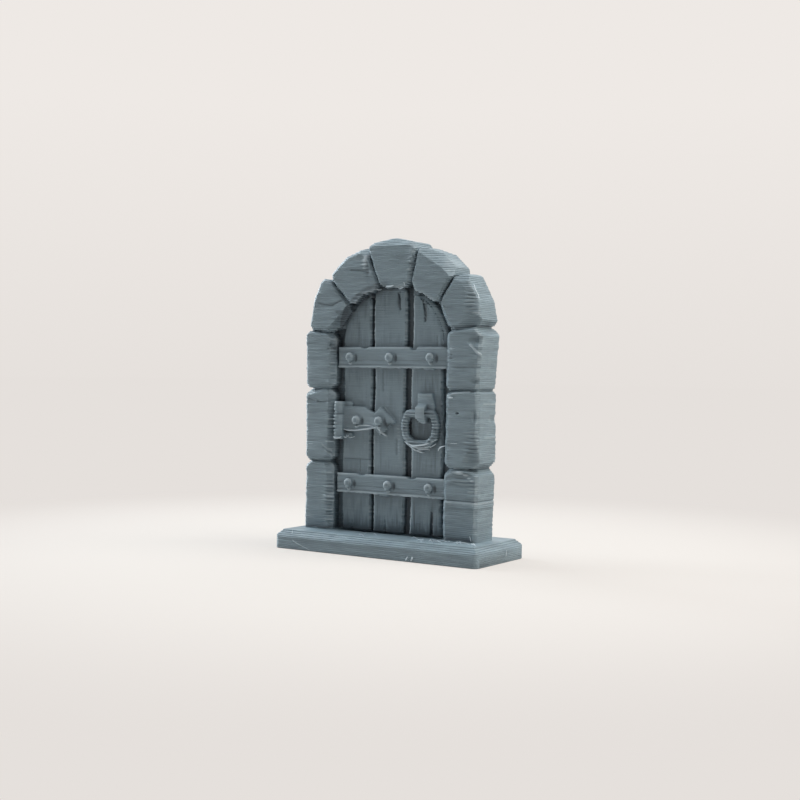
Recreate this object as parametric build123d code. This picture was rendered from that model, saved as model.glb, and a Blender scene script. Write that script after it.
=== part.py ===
from build123d import *

import os
from math import cos, degrees, pi, radians, sin, sqrt

# A dungeon door for a gaming table, in millimetres: an arched plank door in a surround of eleven rough
# stones, on its own bevelled base. It is printed in one piece from the base up, so it is one solid and
# nothing on it moves: the hinge, the straps and the ring pull are only relief.
# X runs along the door, the front faces -Y, Z is up, and the origin is at the middle of the underside.

# Base
BASE_ENDS = (2.5, 2.75)  # how far it runs past the left and the right jamb
BASE_LEDGE = 4.75  # how far it runs past the stones, in front and behind
BASE_EDGE = 2.1  # height of the upright edge
BASE_BEVEL = 1.1  # slope above that edge, at 45 degrees, all round
BASE_CORNER = 0.9  # radius of the upright corners

# Stone surround
OPENING_WIDTH = 22.0  # between the jambs, and twice the arch's inner radius
LEFT_JAMB_WIDTH = 6.15
RIGHT_JAMB_WIDTH = 6.6
RING_DEPTH = 6.95  # of the arch, from its inner curve to its outer one
STONE_DEPTH = 6.2  # of the whole surround, front to back
COURSES = (11.9, 12.5, 9.9)  # heights of the jamb stones, from the base up
SPRING_LAP = 3.3  # the jambs rise this far past the centre of the arch
JOINT_GAP = 0.16  # between two stones
JOINT_SINK = 1.1  # from a stone's faces in to the mortar

# How the stones are dressed: each edge is struck off by a plane, this far in from the edge
OUTER_BEVEL = 0.42
JOINT_BEVEL = 0.36
INNER_BEVEL = 0.7  # along the jambs' inner edges
SOFFIT_BEVEL = 0.15  # along the arch's inner curve
SIDE_BEVEL = 0.6  # at the ends of a joint, where it shows in the outline
SMALL_SIDE_BEVEL = 0.25  # at the outer corners of SMALL_CORNERS
CORNER_BEVEL = 0.2  # at the point where three faces met
BEVEL_LEAN = 0.03  # how much such a plane leans along its edge

# Door leaf
LEAF_RECESS = 1.5  # from the stones' faces in to the planks
PANEL_THICKNESS = 1.2  # the web behind the gaps between the planks
LEFT_REVEAL = 0.95  # gap between the leaf and the left jamb
RIGHT_REVEAL = 0.95
GROOVES = (0.45, 1.15)  # gaps between the three planks
PLANK_SHARES = (0.96, 1.03, 1.01)  # each plank's width against an even third, from the left
TOP_GAP = 0.65  # between the planks and the arch
FOOT_GAP = 0.3  # between the planks and the base
PLANK_CORNER = 0.8  # radius of the planks' upper corners
PLANK_EDGE = 0.35  # bevel along a plank's edges
WANDER = 0.17  # how far a plank's edge wanders from straight
WANDER_PITCH = 14.0
CRACK_DEPTH = 0.5

# Iron straps across the planks, with their nails
STRAP_STANDOUT = 0.75
STRAP_EDGE = 0.22
STRAP_END_GAP = 0.35  # between a strap's free end and the left jamb
UPPER_STRAP_HEIGHT = 3.45
UPPER_STRAP_LEVEL = 29.7  # of its middle above the base
LOWER_STRAP_HEIGHT = 3.2
LOWER_STRAP_LEVEL = 8.3
STRAP_NAIL_TO_JAMB = 2.95  # from a strap's outer nails to the jambs; the third nail is half way
NAIL_RADIUS = 0.65
NAIL_HEIGHT = 0.6
NAIL_ROUNDING = 0.35  # of the edge of a nail's head

# Hinge on the left jamb
HINGE_LEVEL = 19.0  # of its middle above the base
BARREL_RADIUS = 0.95
BARREL_PAST_JAMB = 0.8  # from the opening's edge to the barrel's middle
BARREL_HEIGHT = 6.25
BARREL_STANDOUT = 0.75  # from the planks' face to the barrel's middle
LEAF_HEIGHT = 3.8
LEAF_RISE = 0.4  # how much higher than its nails the leaf's broad part sits
LEAF_NECK = 2.5  # height of the leaf where it meets its arrow head
LEAF_TAPER = 1.4  # from where the leaf starts to narrow to the first groove
LEAF_STANDOUT = 0.65
LEAF_EDGE = 0.14
NECK_PAST_GROOVE = 0.8  # from the first groove to the arrow head
NECK_TO_BARBS = 1.2
HEAD_HEIGHT = 4.8
HEAD_TO_RING = 1.35  # from the arrow's point to the ring
LEAF_NAILS = (3.55, 1.05)  # from the barrel's middle, and from the neck
KNUCKLE_TAB_LENGTH = 2.5
KNUCKLE_TAB_HEIGHT = 0.95
KNUCKLE_TAB_STANDOUT = 0.4

# Ring pull
RING_WIDTH = 7.4
RING_HEIGHT = 6.3
RING_BAR = 1.3  # diameter of the ring's bar
RING_LEVEL = 18.0  # of the ring's middle above the base
RING_TO_JAMB = 1.15
RING_BEND = 0.6  # radius of the ring's corners, as a share of its bar's diameter
RING_SUNK = 0.12  # how far the bar's back is let into the planks
PLATE_WIDTH = 2.85
PLATE_SPREAD = 0.5  # how much wider the back plate is at its foot
PLATE_RISE = 2.65  # of the back plate above the ring's top
PLATE_SHOULDER = 2.0  # from the back plate's top down to where it is widest
PLATE_LEFT = 0.7  # from the back plate's left edge to the ring's middle
PLATE_STANDOUT = 0.6
STAPLE_WIDTH = 1.7
STAPLE_TIP_WIDTH = 0.7
STAPLE_LEFT = 0.4  # from the staple's left edge to the ring's middle
STAPLE_ROOT = 1.0  # from the ring's top up to the staple's root
STAPLE_TIP = 0.9  # from the ring's bar down to the staple's tip
STAPLE_BEND = 0.6  # from the staple's root, and from the bar's middle, down to its bends
STAPLE_STANDOUT = 0.55  # in front of the ring's bar

# Everything below follows from the sizes above
SINK = 0.6  # how far upright pieces run down into the base, and relief into what carries it
base_width = sum(BASE_ENDS) + LEFT_JAMB_WIDTH + OPENING_WIDTH + RIGHT_JAMB_WIDTH
base_depth = STONE_DEPTH + 2 * BASE_LEDGE
door_shift = (BASE_ENDS[0] + LEFT_JAMB_WIDTH - BASE_ENDS[1] - RIGHT_JAMB_WIDTH) / 2
base_top = BASE_EDGE + BASE_BEVEL
jamb_top = base_top + sum(COURSES)
spring = jamb_top - SPRING_LAP
inner_radius = OPENING_WIDTH / 2
outer_radius = inner_radius + RING_DEPTH
jamb_width = {-1: LEFT_JAMB_WIDTH, 1: RIGHT_JAMB_WIDTH}
stone_front = -STONE_DEPTH / 2
stone_back = STONE_DEPTH / 2
plank_front = stone_front + LEAF_RECESS
even_third = (OPENING_WIDTH - LEFT_REVEAL - RIGHT_REVEAL - sum(GROOVES)) / 3
FRONT = Vector(0, -1, 0)
BACK = Vector(0, 1, 0)

# The gaps beside the planks, from left to right: where each starts, its width and its edges' phase
gap_widths = (LEFT_REVEAL, *GROOVES, RIGHT_REVEAL)
gap_starts = [-inner_radius]
for share, gap_width in zip(PLANK_SHARES, gap_widths):
    gap_starts.append(gap_starts[-1] + gap_width + share * even_third)
GAP_PHASES = (0.4, 1.1, 3.6, 5.2)
groove_1 = gap_starts[1] + GROOVES[0] / 2

ring_x = inner_radius - RING_TO_JAMB - RING_WIDTH / 2
ring_z = base_top + RING_LEVEL
ring_y = plank_front + RING_SUNK - RING_BAR / 2
hinge_z = base_top + HINGE_LEVEL


def slab(outline, front, back):
    """A flat piece with an outline of (x, z) points, from y = front to y = back."""
    face = make_face(Polyline([(x, back, z) for x, z in outline], close=True))
    return extrude(face, amount=back - front, dir=FRONT)


def chisel(body, direction, depth):
    """The body with a plane struck across it, square to direction and depth below its furthest point."""
    direction = direction.normalized()
    reach = max(direction.dot(Vector(corner.X, corner.Y, corner.Z)) for corner in body.vertices())
    plane = Plane(origin=direction * (reach - depth), z_dir=direction)
    return split(body, bisect_by=plane, keep=Keep.BOTTOM)


def arch_point(radius, angle):
    """Point on a circle round the arch's centre, angle degrees clockwise from upright."""
    return (radius * sin(radians(angle)), spring + radius * cos(radians(angle)))


# ---------------------------------------------------------------- stones

BEVELS = {
    "outer": OUTER_BEVEL,
    "joint": JOINT_BEVEL,
    "inner": INNER_BEVEL,
    "soffit": SOFFIT_BEVEL,
}


# Each jamb stone's lean: how far its outer side stands out at its foot and at its head, and how far its
# inner side stands back there. The first number is the side, -1 for the left, and then the course.
JAMB_LEANS = {
    (-1, 0): (-0.15, -0.1, 0.3, 0.3),
    (-1, 1): (0.0, 0.05, 0.3, 0.15),
    (-1, 2): (0.0, 0.0, 0.0, -0.05),
    (1, 0): (-0.3, 0.0, -0.3, 0.0),
    (1, 1): (-0.05, 0.05, 0.05, 0.05),
    (1, 2): (-0.2, 0.5, 0.0, 0.05),
}

# The arch's joints from left to right: degrees from upright at the inner curve, how far outside that curve
# the joint's inner end lies, and degrees from upright at the outer curve
ARCH_JOINTS = (
    (-46.0, -0.6, -45.0),
    (-9.0, -0.7, -15.0),
    (22.0, 0.15, 18.0),
    (52.0, 1.0, 45.5),
)

# How far the arch stones' outer corners stand outside the ring: at the left, in the middle, at the right;
# and how far the middle of the stone's underside stands outside the inner curve
VOUSSOIR_RISES = {
    "left_5": (-0.3, 0.05, -0.15, -0.45),
    "keystone": (0.35, 0.65, 0.5, -0.55),
    "right_5": (0.1, 0.55, 0.3, 0.5),
}

# The lowest arch stone of each side: how far its foot stands back from the jamb's outer and inner faces,
# then degrees from upright and rise above the ring for its shoulder and its peak, and its head's rise
SPRINGERS = {
    -1: (0.65, 0.1, (61.0, 0.0), (49.5, 0.6), 0.1),
    1: (-0.2, 0.6, (65.5, 0.9), (51.0, 1.15), 0.2),
}


# The joint between jamb and arch slopes: how far its outer and inner ends lie from the jamb's height
HEAD_SLOPES = {-1: (0.05, -0.5), 1: (0.65, -0.2)}

# Outer corners that are struck off less than the others: stone and corner, counted from its foot
SMALL_CORNERS = (("right_3", 0), ("right_2", 1), ("left_5", 2))


def jamb_stone(side, course):
    """Outline of one jamb stone, counted from the base up; side is -1 on the left and 1 on the right."""
    low = base_top + sum(COURSES[:course]) + JOINT_GAP / 2
    high = base_top + sum(COURSES[: course + 1]) - JOINT_GAP / 2
    outside = inner_radius + jamb_width[side]
    out_low, out_high, in_low, in_high = JAMB_LEANS[side, course]
    foot = "joint"
    if course == 0:
        low, foot = base_top - SINK, "foot"
    out_slope, in_slope = HEAD_SLOPES[side] if course == len(COURSES) - 1 else (0, 0)
    corners = [
        (inner_radius + in_low, low, foot),
        (outside + out_low, low, "outer"),
        (outside + out_high, high + out_slope, "joint"),
        (inner_radius + in_high, high + in_slope, "inner"),
    ]
    return [(side * x, z, kind) for x, z, kind in corners]


def joint_ends(joint, way):
    """Inner point and outer angle of an arch joint's face, on one side of its gap (-1 or 1)."""
    inner_angle, outside_curve, outer_angle = joint
    gap = way * degrees(JOINT_GAP / 2 / inner_radius)
    return arch_point(inner_radius + outside_curve, inner_angle + gap), outer_angle + gap


def springer(side):
    """Outline of the lowest stone of the arch on one side, which sits on the jamb."""
    foot_back, inside_back, shoulder, peak, head_rise = SPRINGERS[side]
    low = jamb_top + JOINT_GAP / 2
    out_slope, in_slope = HEAD_SLOPES[side]
    inner_end, outer_angle = joint_ends(ARCH_JOINTS[0 if side < 0 else -1], side)
    corners = [
        (side * (inner_radius + inside_back), low + in_slope, "joint"),
        (side * (inner_radius + jamb_width[side] - foot_back), low + out_slope, "outer"),
        (*arch_point(outer_radius + shoulder[1], side * shoulder[0]), "outer"),
        (*arch_point(outer_radius + peak[1], side * peak[0]), "outer"),
        (*arch_point(outer_radius + head_rise, outer_angle), "joint"),
        (*inner_end, "inner"),
    ]
    return corners


def voussoir(left_joint, right_joint, rises):
    """Outline of an arch stone between two joints, with its outer corners' rises above the ring."""
    left_end, left_angle = joint_ends(left_joint, 1)
    right_end, right_angle = joint_ends(right_joint, -1)
    angles = (left_angle, (left_angle + right_angle) / 2, right_angle)
    outer = [arch_point(outer_radius + rise, angle) for angle, rise in zip(angles, rises)]
    soffit = arch_point(inner_radius + rises[-1], (left_joint[0] + right_joint[0]) / 2)
    return [
        (*left_end, "soffit"),
        (*soffit, "soffit"),
        (*right_end, "joint"),
        (*outer[2], "outer"),
        (*outer[1], "outer"),
        (*outer[0], "joint"),
    ]


# Pieces knocked off the stones: direction of the blow, and how deep it went
SPALLS = {
    "left_1": [((-1, -1.2, 1.4), 0.35), ((1, -1.5, 0.9), 0.3)],
    "left_2": [((-0.35, -1, 1.2), 0.65), ((0.8, -1.4, -1), 0.3), ((-1, 1, -0.8), 0.3)],
    "left_3": [((0.9, -1, 1.1), 0.35), ((-1.4, -0.6, -0.5), 0.1)],
    "left_4": [((-0.7, -0.8, 1), 0.2), ((0.9, -1.2, -0.9), 0.3)],
    "left_5": [((0.9, -1, 1.1), 0.6), ((-1, -1, -0.2), 0.2)],
    "keystone": [((-1, 0, 0.6), 0.45), ((0, -1, 1.3), 0.7), ((0.7, -0.9, 1), 0.3), ((1, 0.8, 0.9), 0.15)],
    "right_5": [((0.55, -1, 0.9), 0.85), ((0.9, -1, 0.9), 0.4), ((-0.6, -1, 0.9), 0.1)],
    "right_4": [((0.2, -1, 1), 0.6), ((1.9, -5.5, 0.9), 0.3), ((1.8, -6.8, -3.4), 0.6)],
    "right_3": [((1, 0, 1), 0.6), ((1, -0.8, 0.9), 0.3), ((-0.6, -1, 1.2), 0.25), ((1.2, -1, -0.3), 0.15)],
    "right_2": [((1.9, -7, -1), 0.6), ((1, -1, 0.15), 0.12), ((-0.5, -1, 1.5), 0.35), ((1, 0.3, -1), 0.1)],
    "right_1": [((0.5, -0.8, 1.3), 0.5), ((-0.9, -1, 1), 0.4), ((1, 0.9, 0.9), 0.3)],
}

# How far each stone's face stands proud of the surround
PROUD = {"keystone": 0.2, "left_5": 0.1, "right_5": 0.15, "left_3": 0.1, "right_2": 0.1}


def stone_outlines():
    """Every stone's name and outline, jambs first and then the arch from left to right."""
    outlines = {}
    for side, word in ((-1, "left"), (1, "right")):
        for course in range(len(COURSES)):
            outlines[f"{word}_{course + 1}"] = jamb_stone(side, course)
        outlines[f"{word}_4"] = springer(side)
    for name, left, right in zip(VOUSSOIR_RISES, ARCH_JOINTS, ARCH_JOINTS[1:]):
        outlines[name] = voussoir(left, right, VOUSSOIR_RISES[name])
    return outlines


def outline_sides(outline):
    """Outward direction, run and kind of each side of an outline, whichever way round it goes."""
    points = [Vector(x, 0, z) for x, z, kind in outline]
    turn = sum(a.X * b.Z - b.X * a.Z for a, b in zip(points, points[1:] + points[:1]))
    sides = []
    for a, b, corner in zip(points, points[1:] + points[:1], outline):
        run = (b - a).normalized()
        outward = Vector(run.Z, 0, -run.X) * (1 if turn > 0 else -1)
        sides.append((outward, run, corner[2]))
    return sides


def stone(name, outline, number):
    """One stone of the surround, rough dressed: bevelled along its edges and spalled at its corners."""
    front = stone_front - PROUD.get(name, 0)
    body = slab([(x, z) for x, z, kind in outline], front, stone_back)
    sides = outline_sides(outline)
    for place, (outward, run, kind) in enumerate(sides):
        if kind == "foot":
            continue
        for face in (FRONT, BACK):
            lean = BEVEL_LEAN * sin(2.4 * number + 1.7 * place + face.Y)
            body = chisel(body, outward + face + run * lean, BEVELS[kind])
    pairs = zip(sides, sides[1:] + sides[:1])
    for place, ((first, _, kind), (second, _, next_kind)) in enumerate(pairs):
        if "foot" in (kind, next_kind) or kind == next_kind:
            continue
        bevel = SMALL_SIDE_BEVEL if (name, place) in SMALL_CORNERS else SIDE_BEVEL
        body = chisel(body, first + second, bevel)
        for face in (FRONT, BACK):
            body = chisel(body, first + second + face, CORNER_BEVEL)
    for direction, depth in SPALLS[name]:
        body = chisel(body, Vector(*direction), depth)
    return body


def surround():
    """The eleven stones, and the mortar that shows at the bottom of their joints."""
    stones = [
        stone(name, outline, number)
        for number, (name, outline) in enumerate(stone_outlines().items())
    ]
    depth = stone_back - JOINT_SINK
    side = inner_radius + min(LEFT_JAMB_WIDTH, RIGHT_JAMB_WIDTH) - JOINT_SINK
    outside = arch_slab(side, outer_radius - JOINT_SINK, depth)
    inside = arch_slab(inner_radius + JOINT_SINK, inner_radius + JOINT_SINK, depth + SINK)
    return stones + [outside - inside]


def arch_slab(straight, radius, half_depth):
    """An arch-headed slab from just inside the base, half_depth thick each way from the middle."""
    foot = base_top - SINK
    upright = Pos(0, 0, (foot + spring) / 2) * Box(2 * straight, 2 * half_depth, spring - foot)
    head = Pos(0, 0, spring) * Rot(90, 0, 0) * Cylinder(radius, 2 * half_depth)
    below = Pos(0, 0, spring - radius / 2) * Box(2 * radius, 2 * half_depth, radius)
    return upright + (head - below)


# ---------------------------------------------------------------- door leaf


def edge_x(gap, side, z):
    """Where the edge of a plank runs at height z, on one side (-1 or 1) of the gap beside it."""
    edge = gap_starts[gap] + (gap_widths[gap] if side > 0 else 0)
    return edge + WANDER * sin(2 * pi * z / WANDER_PITCH + GAP_PHASES[gap])


def plank(number):
    """One plank of the leaf. Its edges wander a little and its head follows the arch."""
    foot = base_top + FOOT_GAP
    radius = inner_radius - TOP_GAP
    levels = [foot + (spring + radius + SINK - foot) * step / 5 for step in range(6)]
    left = [(edge_x(number, 1, z), z) for z in levels]
    right = [(edge_x(number + 1, -1, z), z) for z in levels]
    strip = [Spline(*left), Line(left[-1], right[-1]), Spline(*right), Line(left[0], right[0])]
    arch = Pos(0, spring) * Circle(radius) + Pos(0, spring / 2) * Rectangle(2 * radius, spring)
    outline = make_face(strip) & arch
    outline = fillet(outline.vertices().sort_by(Axis.Y)[-2:], PLANK_CORNER)
    half = -plank_front
    board = extrude(Plane.XZ * Pos(0, 0, -half) * outline, amount=2 * half)
    return chamfer(board.faces().filter_by(Axis.Y).edges(), PLANK_EDGE)


# Cracks that open towards a plank's head (1) or foot (-1): the plank, how far right of its middle the
# crack runs, which end, its length, and its width there
CRACKS = (
    (0, -0.75, -1, 3.0, 0.5),
    (1, 1.9, 1, 3.2, 0.6),
    (1, -0.55, -1, 3.7, 0.9),
    (2, -0.7, 1, 4.2, 0.6),
    (2, 0.15, 1, 2.8, 0.45),
    (2, 1.2, -1, 4.0, 1.0),
)


def crack(number, offset, end, length, width):
    """What a crack takes out of a plank: a wedge that is deepest and widest at the plank's end."""
    x = (gap_starts[number] + gap_widths[number] + gap_starts[number + 1]) / 2 + offset
    head = spring + sqrt((inner_radius - TOP_GAP) ** 2 - x**2)
    opening, tip = (head + SINK, head - length) if end > 0 else (base_top, base_top + FOOT_GAP + length)
    half = width / 2 * (1 + SINK / CRACK_DEPTH)
    mouth = make_face(
        Polyline(
            (x - half, plank_front - SINK, opening),
            (x + half, plank_front - SINK, opening),
            (x, plank_front + CRACK_DEPTH, opening),
            close=True,
        )
    )
    return loft([mouth, Vertex(x, plank_front, tip)])


def leaf():
    """The planks, with their cracks, and the web behind them that closes the gaps."""
    straight = inner_radius + JOINT_SINK + SINK
    web = arch_slab(straight, straight, PANEL_THICKNESS / 2)
    planks = [plank(number) for number in range(3)]
    cracks = [crack(*size) for size in CRACKS]
    return [board - cracks for board in planks] + [web]


# ---------------------------------------------------------------- ironwork


def nail(x, z, surface):
    """A nail's rounded head on a surface at y = surface."""
    head = Cylinder(NAIL_RADIUS, NAIL_HEIGHT + SINK / 2)
    head = fillet(head.edges().filter_by(GeomType.CIRCLE).sort_by(Axis.Z)[-1], NAIL_ROUNDING)
    return Pos(x, surface - (NAIL_HEIGHT - SINK / 2) / 2, z) * Rot(90, 0, 0) * head


def strap(level, height, nicks, lumps):
    """A flat bar across the planks, nicked along its top and lumpy below, with three nails."""
    middle = base_top + level
    face = plank_front - STRAP_STANDOUT
    left, right = -inner_radius + STRAP_END_GAP, inner_radius + SINK
    bar = slab(
        [
            (left, middle - height / 2),
            (right, middle - height / 2),
            (right, middle + height / 2),
            (left, middle + height / 2),
        ],
        face,
        plank_front + SINK / 2,
    )
    for place, width, depth in nicks:
        radius = (width**2 / 4 + depth**2) / (2 * depth)
        cutter = Rot(90, 0, 0) * Cylinder(radius, 4 * STRAP_STANDOUT)
        bar -= Pos(place * inner_radius, plank_front, middle + height / 2 - depth + radius) * cutter
    for place, width, depth in lumps:
        x, low = place * inner_radius, middle - height / 2
        shape = [(x - width / 2, low + depth), (x - width / 3, low - depth)]
        shape += [(x + width / 3, low - depth), (x + width / 2, low + depth)]
        bar += slab(shape, face, plank_front + SINK / 2)
    front_edges = bar.faces().sort_by(Axis.Y)[0].outer_wire().edges()
    bar = chamfer(front_edges, STRAP_EDGE)
    outer_nail = inner_radius - STRAP_NAIL_TO_JAMB
    nails = [nail(x, middle, face) for x in (-outer_nail, 0, outer_nail)]
    return [bar] + nails


def hinge():
    """The barrel on the jamb, its two knuckle tabs, and the leaf that ends in an arrow head."""
    barrel_x = -inner_radius + BARREL_PAST_JAMB
    barrel = Cylinder(BARREL_RADIUS, BARREL_HEIGHT)
    barrel = Pos(barrel_x, plank_front - BARREL_STANDOUT, hinge_z) * barrel
    pieces = [chamfer(barrel.edges().filter_by(GeomType.CIRCLE), LEAF_EDGE)]
    tab_middle = (BARREL_HEIGHT - KNUCKLE_TAB_HEIGHT) / 2
    for way in (-1, 1):
        tab = SlotOverall(2 * KNUCKLE_TAB_LENGTH, KNUCKLE_TAB_HEIGHT)
        tab = Plane.XZ * Pos(barrel_x, hinge_z + way * tab_middle) * tab
        tab = extrude(tab, amount=-plank_front + KNUCKLE_TAB_STANDOUT)
        pieces.append(split(tab, bisect_by=Plane.YZ.offset(barrel_x), keep=Keep.TOP))
    tip = ring_x - RING_WIDTH / 2 - HEAD_TO_RING
    neck = groove_1 + NECK_PAST_GROOVE
    half = [
        (barrel_x, LEAF_HEIGHT / 2, LEAF_RISE),
        (groove_1 - LEAF_TAPER, LEAF_HEIGHT / 2, LEAF_RISE),
        (neck, LEAF_NECK / 2, 0),
        (neck + NECK_TO_BARBS, HEAD_HEIGHT / 2, 0),
    ]
    outline = [(x, hinge_z + rise + z) for x, z, rise in half] + [(tip, hinge_z)]
    outline += [(x, hinge_z + rise - z) for x, z, rise in reversed(half)]
    face = plank_front - LEAF_STANDOUT
    plate = slab(outline, face, plank_front + SINK / 2)
    pieces.append(chamfer(plate.faces().sort_by(Axis.Y)[0].edges(), LEAF_EDGE))
    for x in (barrel_x + LEAF_NAILS[0], neck + LEAF_NAILS[1]):
        pieces.append(nail(x, hinge_z, face))
    return pieces


# Corners of the ring's right half from the foot up, as shares of half its width and half its height
RING_CORNERS = ((0.5, -1.0), (0.92, -0.5), (1.0, 0.25), (0.82, 1.0))


def ring():
    """The pull ring, forged with flats and hanging against the planks."""
    half_width = (RING_WIDTH - RING_BAR) / 2
    half_height = (RING_HEIGHT - RING_BAR) / 2
    corners = [*RING_CORNERS, *((-x, z) for x, z in reversed(RING_CORNERS))]
    points = [(ring_x + half_width * x, ring_y, ring_z + half_height * z) for x, z in corners]
    path = FilletPolyline(*points, radius=RING_BAR * RING_BEND, close=True)
    start = path.edges()[0]
    section = Plane(origin=start @ 0, z_dir=start % 0) * Circle(RING_BAR / 2)
    return sweep(section, path=path)


def staple(plate_front):
    """The tongue that holds the ring: wide at its root on the plate, bent over the bar and tapered."""
    root = ring_z + RING_HEIGHT / 2 + STAPLE_ROOT
    bar = ring_z + (RING_HEIGHT - RING_BAR) / 2
    tip = bar - RING_BAR / 2 - STAPLE_TIP
    crest = ring_y - RING_BAR / 2 - STAPLE_STANDOUT
    profile = Polyline(
        (0, plank_front + SINK / 2, root),
        (0, plate_front, root),
        (0, crest, root - STAPLE_BEND),
        (0, crest, bar - STAPLE_BEND),
        (0, crest + STAPLE_STANDOUT, tip),
        (0, plank_front + SINK / 2, tip),
        close=True,
    )
    side = extrude(make_face(profile), amount=RING_WIDTH / 2, both=True)
    left = ring_x - STAPLE_LEFT
    right = left + STAPLE_WIDTH
    outline = [(left, root + SINK), (left, bar - STAPLE_BEND), (right - STAPLE_TIP_WIDTH, tip - SINK)]
    outline += [(right, tip - SINK), (right, root + SINK)]
    return Pos(ring_x, 0, 0) * side & slab(outline, crest - SINK, plank_front + SINK)


def pull():
    """The ring pull: a back plate, a staple and the ring."""
    top = ring_z + RING_HEIGHT / 2 + PLATE_RISE
    foot = ring_z + RING_HEIGHT / 2 - RING_BAR
    left = ring_x - PLATE_LEFT
    right = left + PLATE_WIDTH
    face = plank_front - PLATE_STANDOUT
    outline = [(left, foot), (right + PLATE_SPREAD, foot), (right + PLATE_SPREAD, top - PLATE_SHOULDER)]
    outline += [(right, top), (left, top)]
    plate = slab(outline, face, plank_front + SINK / 2)
    plate = chamfer(plate.faces().sort_by(Axis.Y)[0].edges(), LEAF_EDGE)
    return [plate, staple(face), ring()]


# ---------------------------------------------------------------- base and assembly


def base():
    """The bevelled slab that the door stands on."""
    block = Pos(0, 0, base_top / 2) * Box(base_width, base_depth, base_top)
    rounded = fillet(block.edges().filter_by(Axis.Z), BASE_CORNER)
    return chamfer(block.faces().sort_by(Axis.Z)[-1].edges(), BASE_BEVEL) & rounded


# Nicks in a strap's top and lumps under its foot: place, as a share of half the opening, width and depth
UPPER_NICKS = ((-0.4727, 1.6, 0.25), (0.4182, 1.6, 0.5))
UPPER_LUMPS = ((0.6909, 2.6, 0.25),)
LOWER_NICKS = ((-0.5091, 2.0, 0.2), (0.4182, 1.8, 0.3))
LOWER_LUMPS = ((-0.0909, 2.4, 0.15),)

pieces = surround() + leaf() + hinge() + pull()
pieces += strap(UPPER_STRAP_LEVEL, UPPER_STRAP_HEIGHT, UPPER_NICKS, UPPER_LUMPS)
pieces += strap(LOWER_STRAP_LEVEL, LOWER_STRAP_HEIGHT, LOWER_NICKS, LOWER_LUMPS)
dungeon_door = base() + [Pos(door_shift, 0, 0) * piece for piece in pieces]

os.makedirs("parts", exist_ok=True)
export_step(dungeon_door, "parts/dungeon_door.step")
print("solids", len(dungeon_door.solids()), "volume", round(dungeon_door.volume))
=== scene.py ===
from itertools import product
from math import pi, radians

import bmesh
import bpy
import numpy as np
from mathutils import Matrix, Vector


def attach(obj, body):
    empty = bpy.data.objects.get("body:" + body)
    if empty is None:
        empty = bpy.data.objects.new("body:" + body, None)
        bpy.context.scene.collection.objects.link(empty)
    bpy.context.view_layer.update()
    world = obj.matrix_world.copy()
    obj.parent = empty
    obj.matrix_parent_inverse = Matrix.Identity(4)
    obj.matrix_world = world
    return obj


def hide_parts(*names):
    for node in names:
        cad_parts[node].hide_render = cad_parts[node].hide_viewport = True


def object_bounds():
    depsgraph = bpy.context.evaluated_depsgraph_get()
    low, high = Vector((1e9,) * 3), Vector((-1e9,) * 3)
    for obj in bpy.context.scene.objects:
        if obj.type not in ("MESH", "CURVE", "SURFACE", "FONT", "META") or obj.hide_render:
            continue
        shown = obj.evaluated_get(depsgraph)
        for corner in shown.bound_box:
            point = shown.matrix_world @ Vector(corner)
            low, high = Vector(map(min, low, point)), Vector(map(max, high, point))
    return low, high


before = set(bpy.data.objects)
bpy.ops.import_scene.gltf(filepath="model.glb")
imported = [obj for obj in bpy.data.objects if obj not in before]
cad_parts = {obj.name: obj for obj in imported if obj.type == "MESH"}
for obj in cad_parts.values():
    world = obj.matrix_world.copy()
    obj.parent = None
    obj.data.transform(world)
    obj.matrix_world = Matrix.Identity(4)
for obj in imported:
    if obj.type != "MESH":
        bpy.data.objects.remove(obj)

# A dungeon door for a gaming table, printed in one piece. The CAD gives its shape, and this script adds what
# the carving and the printing left on it. X runs along the door, the front faces -Y and Z is up. Left and
# right are as seen from the front, and the stones of each side are counted from the base up.

MM = 0.001
cad_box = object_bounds()

# ---------------------------------------------------------------- sizes and places, in millimetres

LAYER = 0.3  # height of one printed layer
RIB = 0.6  # height of the coarser ribs: two layers together, because ribs of one layer hardly show
BASE_TOP = 3.2
DOOR_MIDDLE = -0.35  # middle of the opening, along the base
OPENING_HALF = 11.0  # half the opening's width, and the arch's inner radius
SPRING = 34.2  # height of the arch's centre
CROWN = 44.0  # above this height there are only stones
STONE_FRONT = -3.1
PLANK_FRONT = -1.6
STRAP_FRONT = -2.35
HINGE_FRONT = -2.25
GROOVES = ((-4.25, 0.4), (2.9, 0.75))  # middle of each gap between planks, and half its width

# Over which stretches each zone begins: above the base, about the arch's centre, beyond the opening's edge
# (below 0: inside it), and about the crown
ABOVE_BASE = (0, 0.6)
INTO_ARCH = (-3.0, 1.0)
INTO_STONE = (-0.7, -0.2)
INTO_CROWN = (-0.4, 0)
PLANK_SLACK = 0.15  # what lies this close to a plank's front or back is its face

SKIN = 0.1  # size of the mesh's quads before it is thinned
SAME_PLACE = 0.001  # corners that are nearer to each other than this are one
MOST_TRIANGLES = 190_000

# ---------------------------------------------------------------- camera, light and floor

CAMERA_PLACE = Vector((118.63, -180.22, 30.46)) * MM
CAMERA_TURN = radians(33.295)  # to the left of straight through the door
CAMERA_DIP = radians(1.243)  # below the level
CAMERA_ROLL = radians(0.774)
CAMERA_LENS = 57.68  # focal length, on a sensor 36 mm wide
CAMERA_NEAR = 1  # nothing nearer than this shows

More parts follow.
